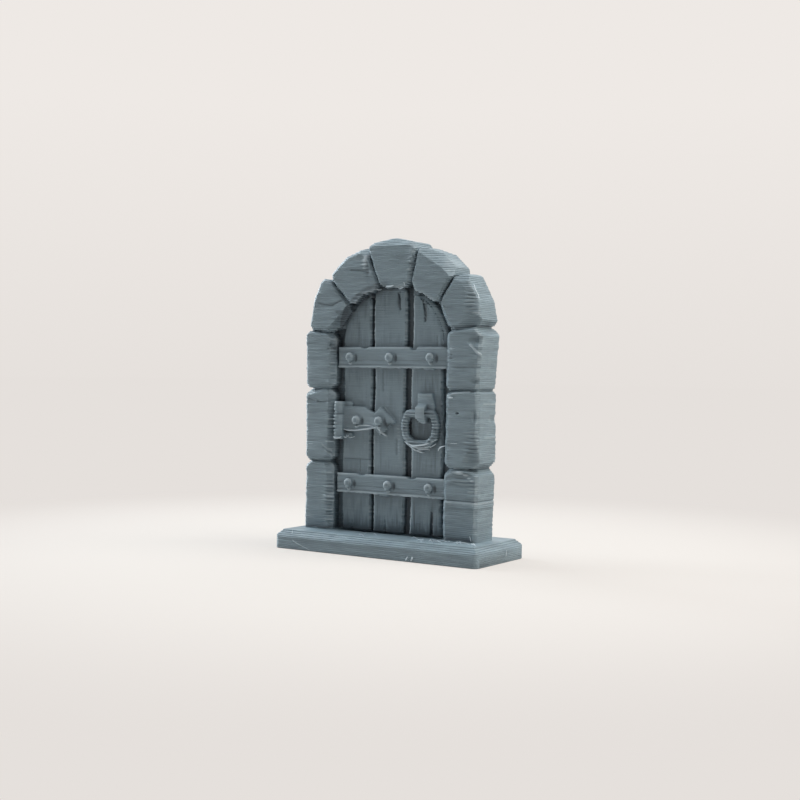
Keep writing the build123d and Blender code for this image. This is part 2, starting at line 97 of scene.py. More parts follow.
BACKDROP = "#E5E0DC"
UPPER_BACKDROP = "#EEE9E5"
BACKDROP_RISE = (-0.02, 0.2)  # rises of a line of sight between which the first turns to the second
FLOOR = "#D0CCC8"
LIT_FLOOR = "#F0EBE8"  # painted light: the glow that the floor beside the door shows of its own
FLOOR_HALF = 3000
FLOOR_FADE = (40, 115)  # distances from the door's middle between which the floor turns to the backdrop
FLOOR_GLOW = 0.5  # share of the floor's tone beside the door that is this painted glow and takes no shadows

# Softboxes, 300 mm square and 450 mm from the door: which way each lies, its power in watts, its colour
SOFTBOX_SIZE = 300
SOFTBOX_REACH = 450
SOFTBOXES = {
    "top": ((0.2, 0, 1), 1.6, "#FFFFFF"),
    "top_back": ((0, 1, 1), 0.17, "#FFFFFF"),
    "top_left": ((-1, 0, 1), 0.8, "#F6FEFF"),
    "top_right": ((0.9, 0.2, 0.9), 1.1, "#FFFAEE"),
    "left": ((-1, 0, 0.25), 2.4, "#EFFAFF"),
    "right": ((1, 0.15, 0.12), 0.45, "#FFF9EE"),
}

# A Mix node's sockets for colours go by number, because its other kinds of socket have the same names
FACTOR, FIRST, SECOND, MIXED = 0, 6, 7, 2


def linear(hex_colour):
    """Linear RGBA of an sRGB hex colour."""
    parts = [int(hex_colour[i : i + 2], 16) / 255 for i in (1, 3, 5)]
    return [c / 12.92 if c <= 0.04045 else ((c + 0.055) / 1.055) ** 2.4 for c in parts] + [1.0]


def add(tree, kind, inputs=(), **settings):
    """Adds a shader node with its settings; inputs gives sockets values or links them to outputs."""
    node = tree.nodes.new("ShaderNode" + kind)
    for name, value in settings.items():
        setattr(node, name, value)
    for socket, value in dict(inputs).items():
        if isinstance(value, bpy.types.NodeSocket):
            tree.links.new(value, node.inputs[socket])
        else:
            node.inputs[socket].default_value = value
    return node


def new_tree(owner):
    """The empty node tree of a material or a world, and its output node."""
    owner.use_nodes = True
    tree = owner.node_tree
    tree.nodes.clear()
    kind = "OutputWorld" if isinstance(owner, bpy.types.World) else "OutputMaterial"
    return tree, add(tree, kind)


def show(piece):
    """Puts a new object into the scene."""
    bpy.context.scene.collection.objects.link(piece)
    return piece


def make_camera():
    """The camera, which looks at the door from its right."""
    data = bpy.data.cameras.new("camera")
    data.lens = CAMERA_LENS
    data.clip_start = CAMERA_NEAR * MM
    camera = show(bpy.data.objects.new("camera", data))
    turn = Matrix.Rotation(CAMERA_TURN, 4, "Z") @ Matrix.Rotation(pi / 2 - CAMERA_DIP, 4, "X")
    camera.matrix_world = Matrix.Translation(CAMERA_PLACE) @ turn @ Matrix.Rotation(CAMERA_ROLL, 4, "Z")
    bpy.context.scene.camera = camera


def softbox(name, way, power, colour):
    """A square lamp that lies way from the door's middle and points at it."""
    data = bpy.data.lights.new(name, "AREA")
    data.size = SOFTBOX_SIZE * MM
    data.energy = power
    data.color = linear(colour)[:3]
    lamp = show(bpy.data.objects.new(name, data))
    middle = (cad_box[0] + cad_box[1]) / 2
    lamp.location = middle + Vector(way).normalized() * SOFTBOX_REACH * MM
    lamp.rotation_mode = "QUATERNION"
    lamp.rotation_quaternion = (middle - lamp.location).to_track_quat("-Z", "Y")


def seen_directly(tree):
    """1 for rays that show the background itself: the camera's, and those mirrored or let through."""
    rays = add(tree, "LightPath")
    seen = rays.outputs["Is Camera Ray"]
    for kind in ("Is Glossy Ray", "Is Transmission Ray"):
        seen = add(tree, "Math", {0: seen, 1: rays.outputs[kind]}, operation="MAXIMUM").outputs[0]
    return seen


def light_studio():
    """A pale backdrop that lights nothing, and the softboxes."""
    world = bpy.data.worlds.new("studio")
    bpy.context.scene.world = world
    tree, output = new_tree(world)
    low, high = BACKDROP_RISE
    rise = add(tree, "SeparateXYZ", {0: add(tree, "TexCoord").outputs["Generated"]}).outputs["Z"]
    rise = add(tree, "MapRange", {"Value": rise, "From Min": low, "From Max": high}).outputs[0]
    colours = {FACTOR: rise, FIRST: linear(BACKDROP), SECOND: linear(UPPER_BACKDROP)}
    tone = add(tree, "Mix", colours, data_type="RGBA").outputs[MIXED]
    backdrop = add(tree, "Background", {"Color": tone, "Strength": seen_directly(tree)})
    tree.links.new(backdrop.outputs[0], output.inputs["Surface"])
    for name, (way, power, colour) in SOFTBOXES.items():
        softbox("softbox_" + name, way, power, colour)


def matt_paper():
    """Pale matt paper: it takes the door's soft shadow, which a painted glow beside the door lightens by
    half, and fades into the backdrop's even tone.
    """
    paper = bpy.data.materials.new("matt_paper")
    tree, output = new_tree(paper)
    place = add(tree, "TexCoord").outputs["Object"]
    reach = add(tree, "VectorMath", {0: place}, operation="LENGTH").outputs["Value"]
    start, end = FLOOR_FADE
    reaches = {"Value": reach, "From Min": start * MM, "From Max": end * MM}
    fade = add(tree, "MapRange", reaches, interpolation_type="SMOOTHSTEP").outputs[0]
    colours = {FACTOR: fade, FIRST: linear(LIT_FLOOR), SECOND: linear(BACKDROP)}
    glow = add(tree, "Mix", colours, data_type="RGBA").outputs[MIXED]
    share = add(tree, "MapRange", {"Value": fade, "To Min": FLOOR_GLOW, "To Max": 1.0}).outputs[0]
    share = add(tree, "Math", {0: share, 1: seen_directly(tree)}, operation="MULTIPLY").outputs[0]
    near = add(tree, "BsdfDiffuse", {"Color": linear(FLOOR)})
    far = add(tree, "Emission", {"Color": glow})
    mixed = add(tree, "MixShader", {0: share, 1: near.outputs[0], 2: far.outputs[0]})
    tree.links.new(mixed.outputs[0], output.inputs["Surface"])
    return paper


def lay_floor():
    """A wide sheet of paper under the door."""
    sheet = bmesh.new()
    bmesh.ops.create_grid(sheet, x_segments=1, y_segments=1, size=FLOOR_HALF * MM)
    mesh = bpy.data.meshes.new("floor")
    sheet.to_mesh(mesh)
    sheet.free()
    mesh.materials.append(matt_paper())
    show(bpy.data.objects.new("floor", mesh))


# ---------------------------------------------------------------- the plastic

PLASTIC = "#7D8F9A"
# the colour of painted shade, in grooves and shadows
SHADE_COLOUR = "#1C232D"
# the pale of painted highlights and of dragged plastic
DRAGGED_AND_HIGHLIT = "#C9D6E0"
LAYER_SWELL = 50 / 11  # along a layer, from one swell of its edge to the next: 11 in 50 mm
RIB_SWELL = 50 / 8  # the same for the coarser ribs
NOISE_JUMP = 13.7  # how far the noise moves on from one layer to the next, so that they don't match
CREASE = 0.06  # how deep the crease between two layers is
GRAIN = 0.25  # coarser than the plastic's real grain, which is too fine to show
GRAIN_HEIGHT = 0.01


def edge_noise(tree, place, pitch, swell):
    """Noise in swells of a given length along the walls, which starts afresh every pitch up them."""
    number = add(tree, "SeparateXYZ", {0: place}).outputs["Z"]
    for operation, value in (("DIVIDE", pitch * MM), ("FLOOR", 0), ("MULTIPLY", NOISE_JUMP * MM)):
        number = add(tree, "Math", {0: number, 1: value}, operation=operation).outputs[0]
    level = add(tree, "CombineXYZ", {"Z": number}).outputs[0]
    along = add(tree, "VectorMath", {0: place, 1: (1, 1, 0)}, operation="MULTIPLY").outputs[0]
    along = add(tree, "VectorMath", {0: along, 1: level}, operation="ADD").outputs[0]
    noise = {"Vector": along, "Scale": 1 / (swell * MM), "Detail": 2.0, "Roughness": 0.4}
    return add(tree, "TexNoise", noise).outputs[0]


def creases(tree, place):
    """1 in the crease between two layers, and 0 half way up each."""
    value = add(tree, "SeparateXYZ", {0: place}).outputs["Z"]
    up_the_layer = (("DIVIDE", LAYER * MM), ("FRACT", 0), ("SUBTRACT", 0.5))
    from_its_middle = (("ABSOLUTE", 0), ("MULTIPLY", 2), ("POWER", 3))
    for operation, number in (*up_the_layer, *from_its_middle):
        value = add(tree, "Math", {0: value, 1: number}, operation=operation).outputs[0]
    return value


def printed_pla():
    """Blue-grey PLA out of a 0.4 mm nozzle: a satin plastic, ribbed by its 0.3 mm layers.

    It reads three values that are painted on the mesh: its painted shade, in grooves and shadows; how pale it
    is, from painted highlights and dragged plastic; and how rough it is.
    """
    plastic = bpy.data.materials.new("printed_pla")
    tree, output = new_tree(plastic)
    place = add(tree, "TexCoord").outputs["Object"]
    deep = add(tree, "Attribute", attribute_name="deep").outputs["Fac"]
    pale = add(tree, "Attribute", attribute_name="pale").outputs["Fac"]
    rough = add(tree, "Attribute", attribute_name="rough").outputs["Fac"]

    # No layer lies quite as the next: its edge strays in and out along the wall
    fine = edge_noise(tree, place, LAYER, LAYER_SWELL)
    coarse = edge_noise(tree, place, RIB, RIB_SWELL)
    strays = add(tree, "Mix", {"Factor": 0.3, "A": fine, "B": coarse}).outputs[0]
    strays = add(tree, "Math", {0: strays, 1: 0.5}, operation="SUBTRACT").outputs[0]
    strays = add(tree, "Math", {0: strays, 1: rough}, operation="MULTIPLY").outputs[0]
    # and since a bead of plastic is round in section, each bulges between two creases
    crease = add(tree, "Math", {0: creases(tree, place), 1: CREASE}, operation="MULTIPLY").outputs[0]
    crease = add(tree, "Math", {0: crease, 1: rough}, operation="MULTIPLY").outputs[0]
    bulge = add(tree, "Math", {0: strays, 1: crease}, operation="SUBTRACT").outputs[0]
    ribs = add(tree, "Bump", {"Height": bulge, "Strength": 1.0, "Distance": 1 * MM}).outputs[0]
    grain = add(tree, "TexNoise", {"Vector": place, "Scale": 1 / (GRAIN * MM), "Detail": 2.0}).outputs[0]
    bumps = {"Height": grain, "Strength": 0.4, "Distance": GRAIN_HEIGHT * MM, "Normal": ribs}
    skin = add(tree, "Bump", bumps).outputs[0]

    # Painted shade darkens the colour down in the grooves and in painted shadows, and painted highlights and
    # dragged plastic turn it pale
    tone = add(tree, "Math", {0: strays, 1: 1.0}, operation="ADD").outputs[0]
    colours = {FACTOR: 1.0, FIRST: linear(PLASTIC), SECOND: tone}
    colour = add(tree, "Mix", colours, data_type="RGBA", blend_type="MULTIPLY").outputs[MIXED]
    for share, other in ((deep, SHADE_COLOUR), (pale, DRAGGED_AND_HIGHLIT)):
        colours = {FACTOR: share, FIRST: colour, SECOND: linear(other)}
        colour = add(tree, "Mix", colours, data_type="RGBA").outputs[MIXED]
    satin = {"Base Color": colour, "Roughness": 0.48, "IOR": 1.46, "Normal": skin}
    surface = add(tree, "BsdfPrincipled", satin)
    tree.links.new(surface.outputs[0], output.inputs["Surface"])
    return plastic


# ---------------------------------------------------------------- places on the door, in millimetres

# Knocks and pits in the stones, and lumps on them: middle, half size, and how deep (below 0: how high)
DENTS = (
    # fourth stone on the right: its rough top
    ((13.3, -3.0, 46.1), (1.6, 0.8, 0.5), 0.15),
    # third stone on the right: the hollow chip at its top corner, and the flat knocked off its foot
    ((16.6, -3.1, 35.7), (1.5, 1.2, 1.1), 0.35),
    ((16.7, -3.1, 29.1), (1.2, 0.9, 0.7), 0.25),
    # second stone on the right: a fleck, a pit, a long hollow and the dip in its outline
    ((12.1, -3.2, 26.5), (0.6, 0.4, 0.2), -0.25),
    ((13.35, -3.2, 24.0), (0.34, 0.5, 0.26), 0.45),
    ((16.5, -3.2, 23.6), (0.6, 0.7, 1.4), 0.3),
    ((17.2, 1.9, 23.1), (0.6, 1.8, 1.0), 0.35),
    # first stone on the right: the scoop below its top edge, and what sagged there
    ((14.9, -3.1, 14.0), (2.2, 0.9, 0.6), 0.15),
    ((14.0, -3.1, 14.5), (1.0, 0.5, 0.2), -0.2),
    ((15.0, -3.1, 14.1), (0.7, 0.5, 0.16), -0.2),
    ((15.7, -3.1, 13.6), (0.6, 0.5, 0.15), -0.2),
    ((16.3, -3.1, 13.2), (0.5, 0.5, 0.15), -0.2),
    ((12.2, -3.1, 12.9), (1.1, 0.5, 0.2), -0.15),
    # the keystone's top, fuller at its left
    ((-4.2, 2.0, 52.0), (2.6, 3.2, 1.6), -0.4),
    # third and second stone on the left
    ((-12.0, -3.1, 35.0), (0.8, 0.7, 0.6), 0.3),
    ((-14.65, -3.1, 25.3), (0.25, 0.4, 0.25), 0.25),
    # the foot of the arrow head, which sank into the plank, and the lump left in it
    ((-0.4, -2.25, 21.4), (1.9, 0.7, 0.9), 0.5),
    ((-0.3, -1.9, 21.3), (0.6, 0.4, 0.35), -0.25),
)

# Seams, ridges and cracks in front faces: (x, z) points, the face's y, width, and how deep they go (below 0:
# how high they stand)
LINES = (
    # arch stones
    (((-7.9, 47.6), (-5.9, 47.45), (-4.3, 47.15)), STONE_FRONT, 0.25, 0.12),
    (((-14.8, 42.15), (-12.0, 41.7), (-9.75, 42.6)), STONE_FRONT, 0.3, 0.12),
    (((-11.1, 40.6), (-8.8, 40.75)), STONE_FRONT, 0.2, 0.12),
    (((16.3, 44.2), (17.0, 42.8)), STONE_FRONT, 0.25, -0.2),
    # jamb stones
    (((-12.8, 34.3), (-10.75, 34.4)), STONE_FRONT, 0.2, 0.12),
    (((-16.55, 25.7), (-14.5, 25.15), (-12.25, 25.3)), STONE_FRONT, 0.18, 0.12),
    (((15.6, 35.0), (16.4, 34.2), (17.7, 33.0)), STONE_FRONT, 0.28, -0.2),
    (((11.2, 31.35), (17.9, 31.35)), STONE_FRONT, 0.18, 0.1),
    (((11.05, 26.6), (12.35, 27.0), (13.85, 27.25), (15.5, 27.4)), STONE_FRONT, 0.2, -0.12),
    (((12.75, 15.1), (14.9, 15.05), (16.6, 14.95), (18.3, 15.1)), STONE_FRONT, 0.22, -0.16),
    (((-13.6, 17.9), (-12.2, 17.0), (-11.3, 16.3)), STONE_FRONT, 0.25, -0.06),
    (((-13.4, 17.4), (-12.1, 16.5), (-11.3, 15.9)), STONE_FRONT, 0.25, 0.06),
    (((-13.0, 17.0), (-11.9, 16.0), (-11.3, 15.5)), STONE_FRONT, 0.25, -0.06),
    # planks: shallow lines, and three deep cracks
    (((-9.9, 15.6), (-4.5, 15.6)), PLANK_FRONT, 0.14, 0.12),
    (((-6.6, 15.6), (-6.6, 13.5)), PLANK_FRONT, 0.2, 0.1),
    (((-2.09, 30.7), (-2.04, 27.4)), PLANK_FRONT, 0.35, 0.07),
    (((0.83, 19.2), (0.87, 16.8)), PLANK_FRONT, 0.4, 0.08),
    (((8.49, 36.4), (8.52, 34.9)), PLANK_FRONT, 0.35, 0.07),
    (((1.3, 23.8), (1.32, 15.9)), PLANK_FRONT, 0.18, -0.02),
    (((0.8, 43.6), (0.97, 42.6), (1.15, 41.0)), PLANK_FRONT, 0.28, 0.3),
    (((5.2, 42.7), (5.7, 42.1), (6.0, 40.7), (6.1, 39.0)), PLANK_FRONT, 0.28, 0.26),
    (((7.85, 7.4), (7.75, 5.2), (7.7, 3.5)), PLANK_FRONT, 0.33, 0.28),
    # hinge: the ridge along its foot, the barb below its arrow head, and the head's upper edge
    (((-9.7, 20.6), (-5.5, 20.7), (-3.0, 21.1)), HINGE_FRONT, 0.25, -0.12),
    (((-2.95, 21.3), (-2.3, 20.8), (-1.7, 20.05), (-1.25, 19.8)), HINGE_FRONT, 0.3, -0.15),
    (((-1.7, 24.5), (0.3, 22.65)), HINGE_FRONT, 0.22, -0.05),
)

LINE_STRAY = 0.15  # how far a line strays sideways from layer to layer
LINE_DEPTH = 0.7  # a line reaches what lies this close to its face

# Where the layers stand in and out most: middle, half size, and how far
RIBBED = (
    ((-11.6, -2.8, 8.5), (2.0, 0.9, 7.0), 0.36),  # first stone on the left
    ((-11.5, -2.8, 21.0), (1.6, 0.9, 6.5), 0.28),  # second stone on the left
    ((-11.5, -2.8, 32.5), (1.0, 0.9, 5.5), 0.13),  # third stone on the left
    ((-10.2, -3.0, 39.6), (1.2, 0.9, 2.0), 0.24),  # fourth stone on the left
    ((-5.0, -3.0, 43.1), (3.4, 0.9, 1.6), 0.3),  # foot of the fifth stone on the left
    ((4.1, -3.3, 47.5), (0.8, 0.8, 3.0), 0.2),  # keystone's right edge
    ((15.5, -3.1, 42.0), (1.6, 0.9, 3.0), 0.26),  # fourth stone on the right
    ((16.2, -3.1, 19.0), (1.9, 0.9, 4.2), 0.2),  # second stone on the right, its outer edge
    ((14.6, -3.1, 13.2), (2.8, 0.9, 1.2), 0.25),  # first stone on the right, its top
    ((1.3, -1.6, 19.8), (0.55, 0.5, 5.0), 0.1),  # middle plank
    ((16.4, -3.1, 11.8), (1.2, 0.9, 1.8), 0.18),  # first stone on the right, its outer edge
    ((-4.9, -3.2, 48.4), (1.0, 0.9, 2.8), 0.2),  # the joint on the keystone's left
    ((-10.9, -3.0, 22.2), (1.0, 1.2, 3.8), 0.14),  # hinge's barrel
    ((-11.6, -3.0, 30.0), (0.9, 0.9, 3.0), 0.1),  # third stone on the left, its foot
    ((11.2, -3.0, 33.0), (0.7, 0.7, 3.6), 0.2),  # third stone on the right, its inner edge
    ((11.2, -3.0, 22.0), (0.7, 0.7, 5.5), 0.2),  # second stone on the right, its inner edge
)

RIB_STRAY = 0.8  # how far the outline of such a place strays sideways from layer to layer
RIB_SHIFT, RIB_COMB = 0.7, 0.4  # how much its ribs follow the layers' own shift, and how much an even comb
RIB_SLOPE = 0.7  # how much of them a level face loses
RING_COMB, RING_SHIFT = 0.15, 0.12  # height of the ribs on the ring's bar, and how far its layers shift
PLANK_SHIFT = 0.1  # how far the layers shift at the planks' edges
PLANK_BACK = 1.65  # the leaf lies between this y and its opposite

# Painted light and shade: middle, half size, and how much. Above 0 the plastic is pale, as a painted
# highlight where it catches the light and where it was dragged, and below 0 it lies in painted shade
TONES = (
    # the fleck on the second stone on the right
    ((12.1, -3.3, 26.5), (0.55, 0.5, 0.3), 0.9),
    # painted highlights on the keystone's foot, the edge of the stone on its left, and its right shoulder
    ((-1.5, -2.6, 44.2), (1.6, 1.2, 0.5), 0.35),
    ((2.0, -2.6, 44.4), (1.4, 1.2, 0.5), 0.3),
    ((-5.15, -3.0, 49.0), (0.5, 1.2, 1.7), 0.75),
    ((4.3, -3.0, 50.3), (0.8, 0.8, 0.35), 0.5),
    # painted highlights on the tops and the outer edges of the arch stones on the right
    ((8.5, -3.0, 50.6), (0.9, 0.8, 0.3), 0.35),
    ((11.4, -3.0, 47.0), (0.8, 0.7, 0.3), 0.35),
    ((12.5, -0.5, 48.7), (4.0, 4.0, 2.2), 0.3),
    ((16.7, -3.1, 43.5), (0.5, 0.7, 1.0), 0.4),
    ((16.5, -3.1, 40.1), (0.9, 0.7, 0.2), 0.4),
    # what sagged at the top of the first stone on the right
    ((13.8, -3.2, 14.4), (1.2, 0.7, 0.35), 0.7),
    ((15.0, -3.2, 14.1), (0.8, 0.7, 0.25), 0.7),
    ((15.7, -3.2, 13.6), (0.6, 0.7, 0.2), 0.6),
    ((16.3, -3.2, 13.2), (0.5, 0.7, 0.2), 0.6),
    # painted shade on the second stone on the right, its outer edge
    ((16.2, -3.1, 18.2), (1.4, 0.9, 3.4), -0.22),
    # the fourth stones: painted shade on the left one's inner edge, and a painted highlight on the right
    # one's rough top
    ((-10.5, -2.8, 39.6), (1.4, 1.0, 2.6), -0.25),
    ((13.3, -3.0, 46.1), (1.6, 0.8, 0.4), 0.3),
    # painted shade in the pit in the second stone on the right
    ((13.36, -3.0, 24.0), (0.32, 0.8, 0.22), -1.0),
    # painted shade in the cracks in the planks
    ((7.9, -1.5, 5.6), (0.45, 0.8, 3.6), -1.4),
    ((6.2, -1.5, 40.6), (0.3, 0.8, 2.3), -1.3),
    ((5.8, -1.5, 42.7), (0.35, 0.8, 0.8), -1.0),
    ((0.75, -1.5, 42.4), (0.3, 0.8, 1.5), -1.2),
    # painted shade in the joint on the keystone's left
    ((-4.55, -3.1, 47.2), (0.35, 0.8, 2.2), -0.6),
    # painted shadows right of the staple and around its plate, and a painted highlight on the plate's own top
    ((7.6, -2.2, 24.75), (0.9, 0.7, 0.5), -1.5),
    ((9.3, -1.6, 25.2), (0.6, 0.5, 2.2), -0.7),
    ((7.1, -1.6, 27.3), (2.2, 0.5, 0.4), -0.6),
    ((6.8, -2.2, 26.7), (1.7, 0.3, 0.25), 0.35),
    # the hinge, painted a little paler than the planks as if lit, and painted shade on its arrow head's sunk
    # half
    ((-6.5, -2.6, 22.3), (5.5, 1.2, 2.6), 0.14),
    ((-0.5, -2.0, 21.5), (1.6, 0.8, 0.8), -0.45),
)

# Painted light and shade: above 0 a painted highlight, below 0 painted shade
PRESSED_TONE, RIB_TONE = 4.0, 2.5  # painted highlight for each millimetre that a pressed mark, or a rib, stands out, and painted shade for each that it lies back
PRESSED_RANGE, RIB_RANGE = (-0.12, 0.08), (-0.12, 0.1)  # no mark or rib counts for more than this
BAR_TONE = -0.12  # painted shade: the ring's bar is darker all over
SLIP_EDGE_TONE, SLIP_GROOVE_TONE = 0.4, -0.5
PLANK_EDGE_TONE, PLANK_GAP_TONE = 0.35, -0.8
ARCH_SHADE, UNDERSIDE_SHADE = -0.8, -0.5  # on the planks' tops, and on the arch's own underside

# The middle of the ring's bar, as (x, z) points: its right half from the foot up, and its left half back down
RING = ((7.3, 18.7), (8.6, 19.95), (8.85, 21.8), (8.3, 23.7))
RING += ((3.3, 23.7), (2.75, 21.8), (3.0, 19.95), (4.3, 18.7))
RING_HALF = 1.0  # reach of the bar's ribs from its middle
RING_RIB = 0.5  # height of the ribs that cross the bar
RING_FRONT, RING_BACK, RING_TOP = -3.2, -1.5, 24.4

STRAPS = ((32.9, 3.45), (11.5, 3.2))  # height of each strap's middle, and how tall it is
# Lines along each strap: how far down it, as a share of its height, width, and how deep (below 0: how high)
STRAP_LINES = ((0.04, 0.2, -0.06), (0.64, 0.13, 0.07), (0.86, 0.13, 0.09), (0.95, 0.2, -0.08))
STRAP_SLACK = 0.4  # what lies this close to a strap's front is its face

# The foot of each nail's head
NAILS = [(x, STRAP_FRONT, z) for z, _ in STRAPS for x in (-8.4, -0.35, 7.7)]
NAILS += [(x, HINGE_FRONT, 22.2) for x in (-7.0, -2.4)]

NAIL_REACH = 0.9  # a nail's head lies within this radius
NAIL_RIM = 0.55  # radius at which the head's edge stands up
NAIL_RIM_HALF = 0.24  # half the width of that edge
NAIL_RIM_FOOT = 0.2  # it stands further than this in front of the face
NAIL_RIM_HEIGHT = 0.05
NAIL_SPREAD = 0.11  # how much further the head spreads than the CAD's
NAIL_FOOT = 0.1  # that spread starts this far in front of the face

# Round the foot of each nail's head: middle, half size, and how high (below 0: how deep)
NAIL_RELIEF = (
    ((0, -0.6, 0), (0.5, 0.5, 0.5), -0.05),  # the dish in its top
    ((0.05, 0, -1.0), (0.45, 0.6, 0.35), 0.45),  # the drip under it
    ((1.15, 0, -0.1), (0.4, 0.5, 0.9), -0.15),  # the hollow to its right
)
# The same for its painted light and shade, above 0 a painted highlight and below 0 painted shade; the first
# is only on its edge
NAIL_EDGE_TONE = ((-0.35, -0.5, 0.3), (0.9, 0.8, 0.7), 0.4)
NAIL_TONES = (
    ((0.3, -0.4, -0.3), (0.6, 0.6, 0.6), -0.2),
    ((1.05, 0, -0.2), (0.4, 0.6, 0.8), -0.8),
    ((0, -0.2, -0.75), (0.5, 0.6, 0.18), -0.7),
)

# The first stone on the right, where the layers above a height stand back from those below it
SLIP = 9.8
SLIP_REACH = 1.0  # how far above and below that height it shows
SLIP_EDGE = 0.08  # how far those below stand out
SLIP_RISE = 0.12  # height over which that fades
SLIP_GROOVE = 0.12  # depth of the groove over their edge
GROOVE_RISE = 0.08  # height of the groove's middle above the slip
GROOVE_HALF = 0.16  # half its width
SLIP_STONE = 10.8  # the stone lies to the right of this x

# Thin beads on the outer side of the second stone on the right: height, and the y of both ends
SIDE_BEADS = ((25.5, -1.7, 2.2), (20.1, -1.2, 2.3))
BEAD = 0.08  # how far they stand out
BEAD_HALF = 0.2  # half a bead's width
SIDE = 16.0  # that side lies to the right of this x

# What is drawn by chance: how high it stands, the size of its lumps along x, y and z, and its seed
STONE_ROUGHNESS = ((0.05, (3.4, 3.4, 3.0), 11), (0.035, (1.5, 1.5, 1.0), 12), (0.03, (3.0, 3.0, 0.45), 13))
STONE_EDGE_RIBS = ((0.06, (2.2, 2.2, 0.34), 14),)
PLANK_GRAIN = ((0.035, (0.9, 9.0, 8.0), 15), (0.015, (0.35, 9.0, 5.0), 16))
DRIPS = ((0.16, (0.45, 0.45, 9.0), 17),)
LAYER_SEED = 18
COMB_WAVER = ((2.5, (5.0, 9.0, 2.5), 19),)  # of the even comb of ribs, in radians of its wave

# Height of the steps on a slope, as a share of a layer: where it overhangs, on the base, and elsewhere
OVERHANG_STEP, BASE_STEP, OTHER_STEP = 0.4, 0.19, 0.15
LEVEL = 0.97  # what faces up or down more than this is level and has none

SAG = 0.08  # how far the undersides hang on average
SAG_START = 0.3  # a face sags where it looks down more than this
SAG_CLEAR = 0.5  # nothing sags lower than this above the base
SAG_RANGE = (-0.05, 0.25)  # the least and the most that it hangs
FILLED = -1.58  # y of the plastic that ran into the gap between planks and arch
FILLED_LEFT, FILLED_RIGHT, FILLED_TOP = 3.6, 0.35, 10.9  # where it starts and ends, above the arch's centre
FILLED_BAND = (-1.15, 0.1)  # and about the arch's radius
FILLED_SLACK = 0.02  # share of its depth that is left, because walls pressed flat would fall on each other


# ---------------------------------------------------------------- shaping the skin

LATTICE = 32  # random values along each side of the block that lumps are drawn from
CORE = 0.2  # share of an ellipsoid's radius that takes its full effect
LAYER_JUMP = 7.37  # lumps between one layer's draw and the next one's, so that they don't match
LAYER_LUMPS = (2.4, 2.4, 1.0)  # size of a layer's swells along x and y
MAP_CELL = 0.2  # size of the cells in a map of the relief
MAP_MARGIN = 20  # empty cells on each side of it


def lumps(points, size, seed):
    """Smooth random values from -1 to 1 at points, in lumps of about the given size along x, y and z."""
    values = np.random.default_rng(seed).uniform(-1, 1, (LATTICE, LATTICE, LATTICE))
    cell = np.floor(points / size)
    inside = points / size - cell
    inside = inside * inside * (3 - 2 * inside)
    cell = cell.astype(int)
    total = np.zeros(len(points))
    for corner in product((0, 1), repeat=3):
        near = np.prod(np.where(corner, inside, 1 - inside), axis=1)
        total += near * values[tuple(((cell + corner) % LATTICE).T)]
    return total


def drawn(points, kinds):
    """Several kinds of lumps, added up."""
    return sum(height * lumps(points, size, seed) for height, size, seed in kinds)


def smoothstep(value, low, high):
    """Rises smoothly from 0 at the low value to 1 at the high one."""
    share = np.clip((value - low) / (high - low), 0, 1)
    return share * share * (3 - 2 * share)


def past(value, edge, stretch):
    """Rises from 0 to 1 over a stretch that is measured from an edge."""
    return smoothstep(value, edge + stretch[0], edge + stretch[1])


def within(value, middle, reach):
    """Whether a value is nearer to the middle than the reach."""
    return np.abs(value - middle) < reach


def close_to(value, middle, reach):
    """Falls from 1 at the middle to 0 at reach from it."""
    return 1 - smoothstep(np.abs(value - middle), 0, reach)


def around(points, middle, size):
    """Falls from 1 at the middle to 0 at an ellipsoid's surface, its size being half its axes."""
    return 1 - smoothstep(np.linalg.norm((points - middle) / size, axis=1), CORE, 1)


def beside(points, path, width):
    """Falls from 1 on a line through (x, z) points to 0 at width away from it."""
    flat = points[:, [0, 2]]
    nearest = np.full(len(points), np.inf)
    for start, end in zip(path, path[1:]):
        run = np.subtract(end, start)
        share = np.clip((flat - start) @ run / (run @ run), 0, 1)
        nearest = np.minimum(nearest, np.hypot(*(flat - start - share[:, None] * run).T))
    return close_to(nearest, 0, width)


def layer_shift(points, seed):
    """How far each rib strays from the next, from about -1 to 1, wandering along the wall."""
    shift = np.zeros(len(points))
    for pitch, share in ((LAYER, 0.8), (RIB, 0.4)):
        layered = points.copy()
        layered[:, 2] = LAYER_JUMP * np.floor(points[:, 2] / pitch)
        shift += share * lumps(layered, LAYER_LUMPS, seed)
    return shift


def sunk(points, spread):
    """How far each point lies behind the middling level of what surrounds it, seen from its own side."""
    x, y, z = points.T
    column = ((x - x.min()) / MAP_CELL).astype(int) + MAP_MARGIN
    row = ((z - z.min()) / MAP_CELL).astype(int) + MAP_MARGIN
    shape = (column.max() + MAP_MARGIN + 1, row.max() + MAP_MARGIN + 1)
    waves = [np.fft.fftfreq(count)[:, None] ** 2 for count in shape]
    blur = np.exp(-2 * (pi * spread / MAP_CELL) ** 2 * (waves[0] + waves[1].T))
    depth = np.zeros(len(points))
    for side in (-1, 1):
        relief = np.zeros(shape)
        np.maximum.at(relief, (column, row), side * y)
        blurred = [np.fft.ifft2(np.fft.fft2(grid) * blur).real for grid in (relief, relief > 0)]
        level, cover = (grid[column, row] for grid in blurred)
        inside = smoothstep(cover, 0.6, 0.9)  # nothing is sunk at the door's outline
        depth = np.where(side * y > 0, (level - side * y) * inside, depth)
    return depth


def rows(items, name):
    """A vector for each item of a mesh, as one array."""
    values = np.empty(len(items) * 3)
    items.foreach_get(name, values)
    return values.reshape(-1, 3)


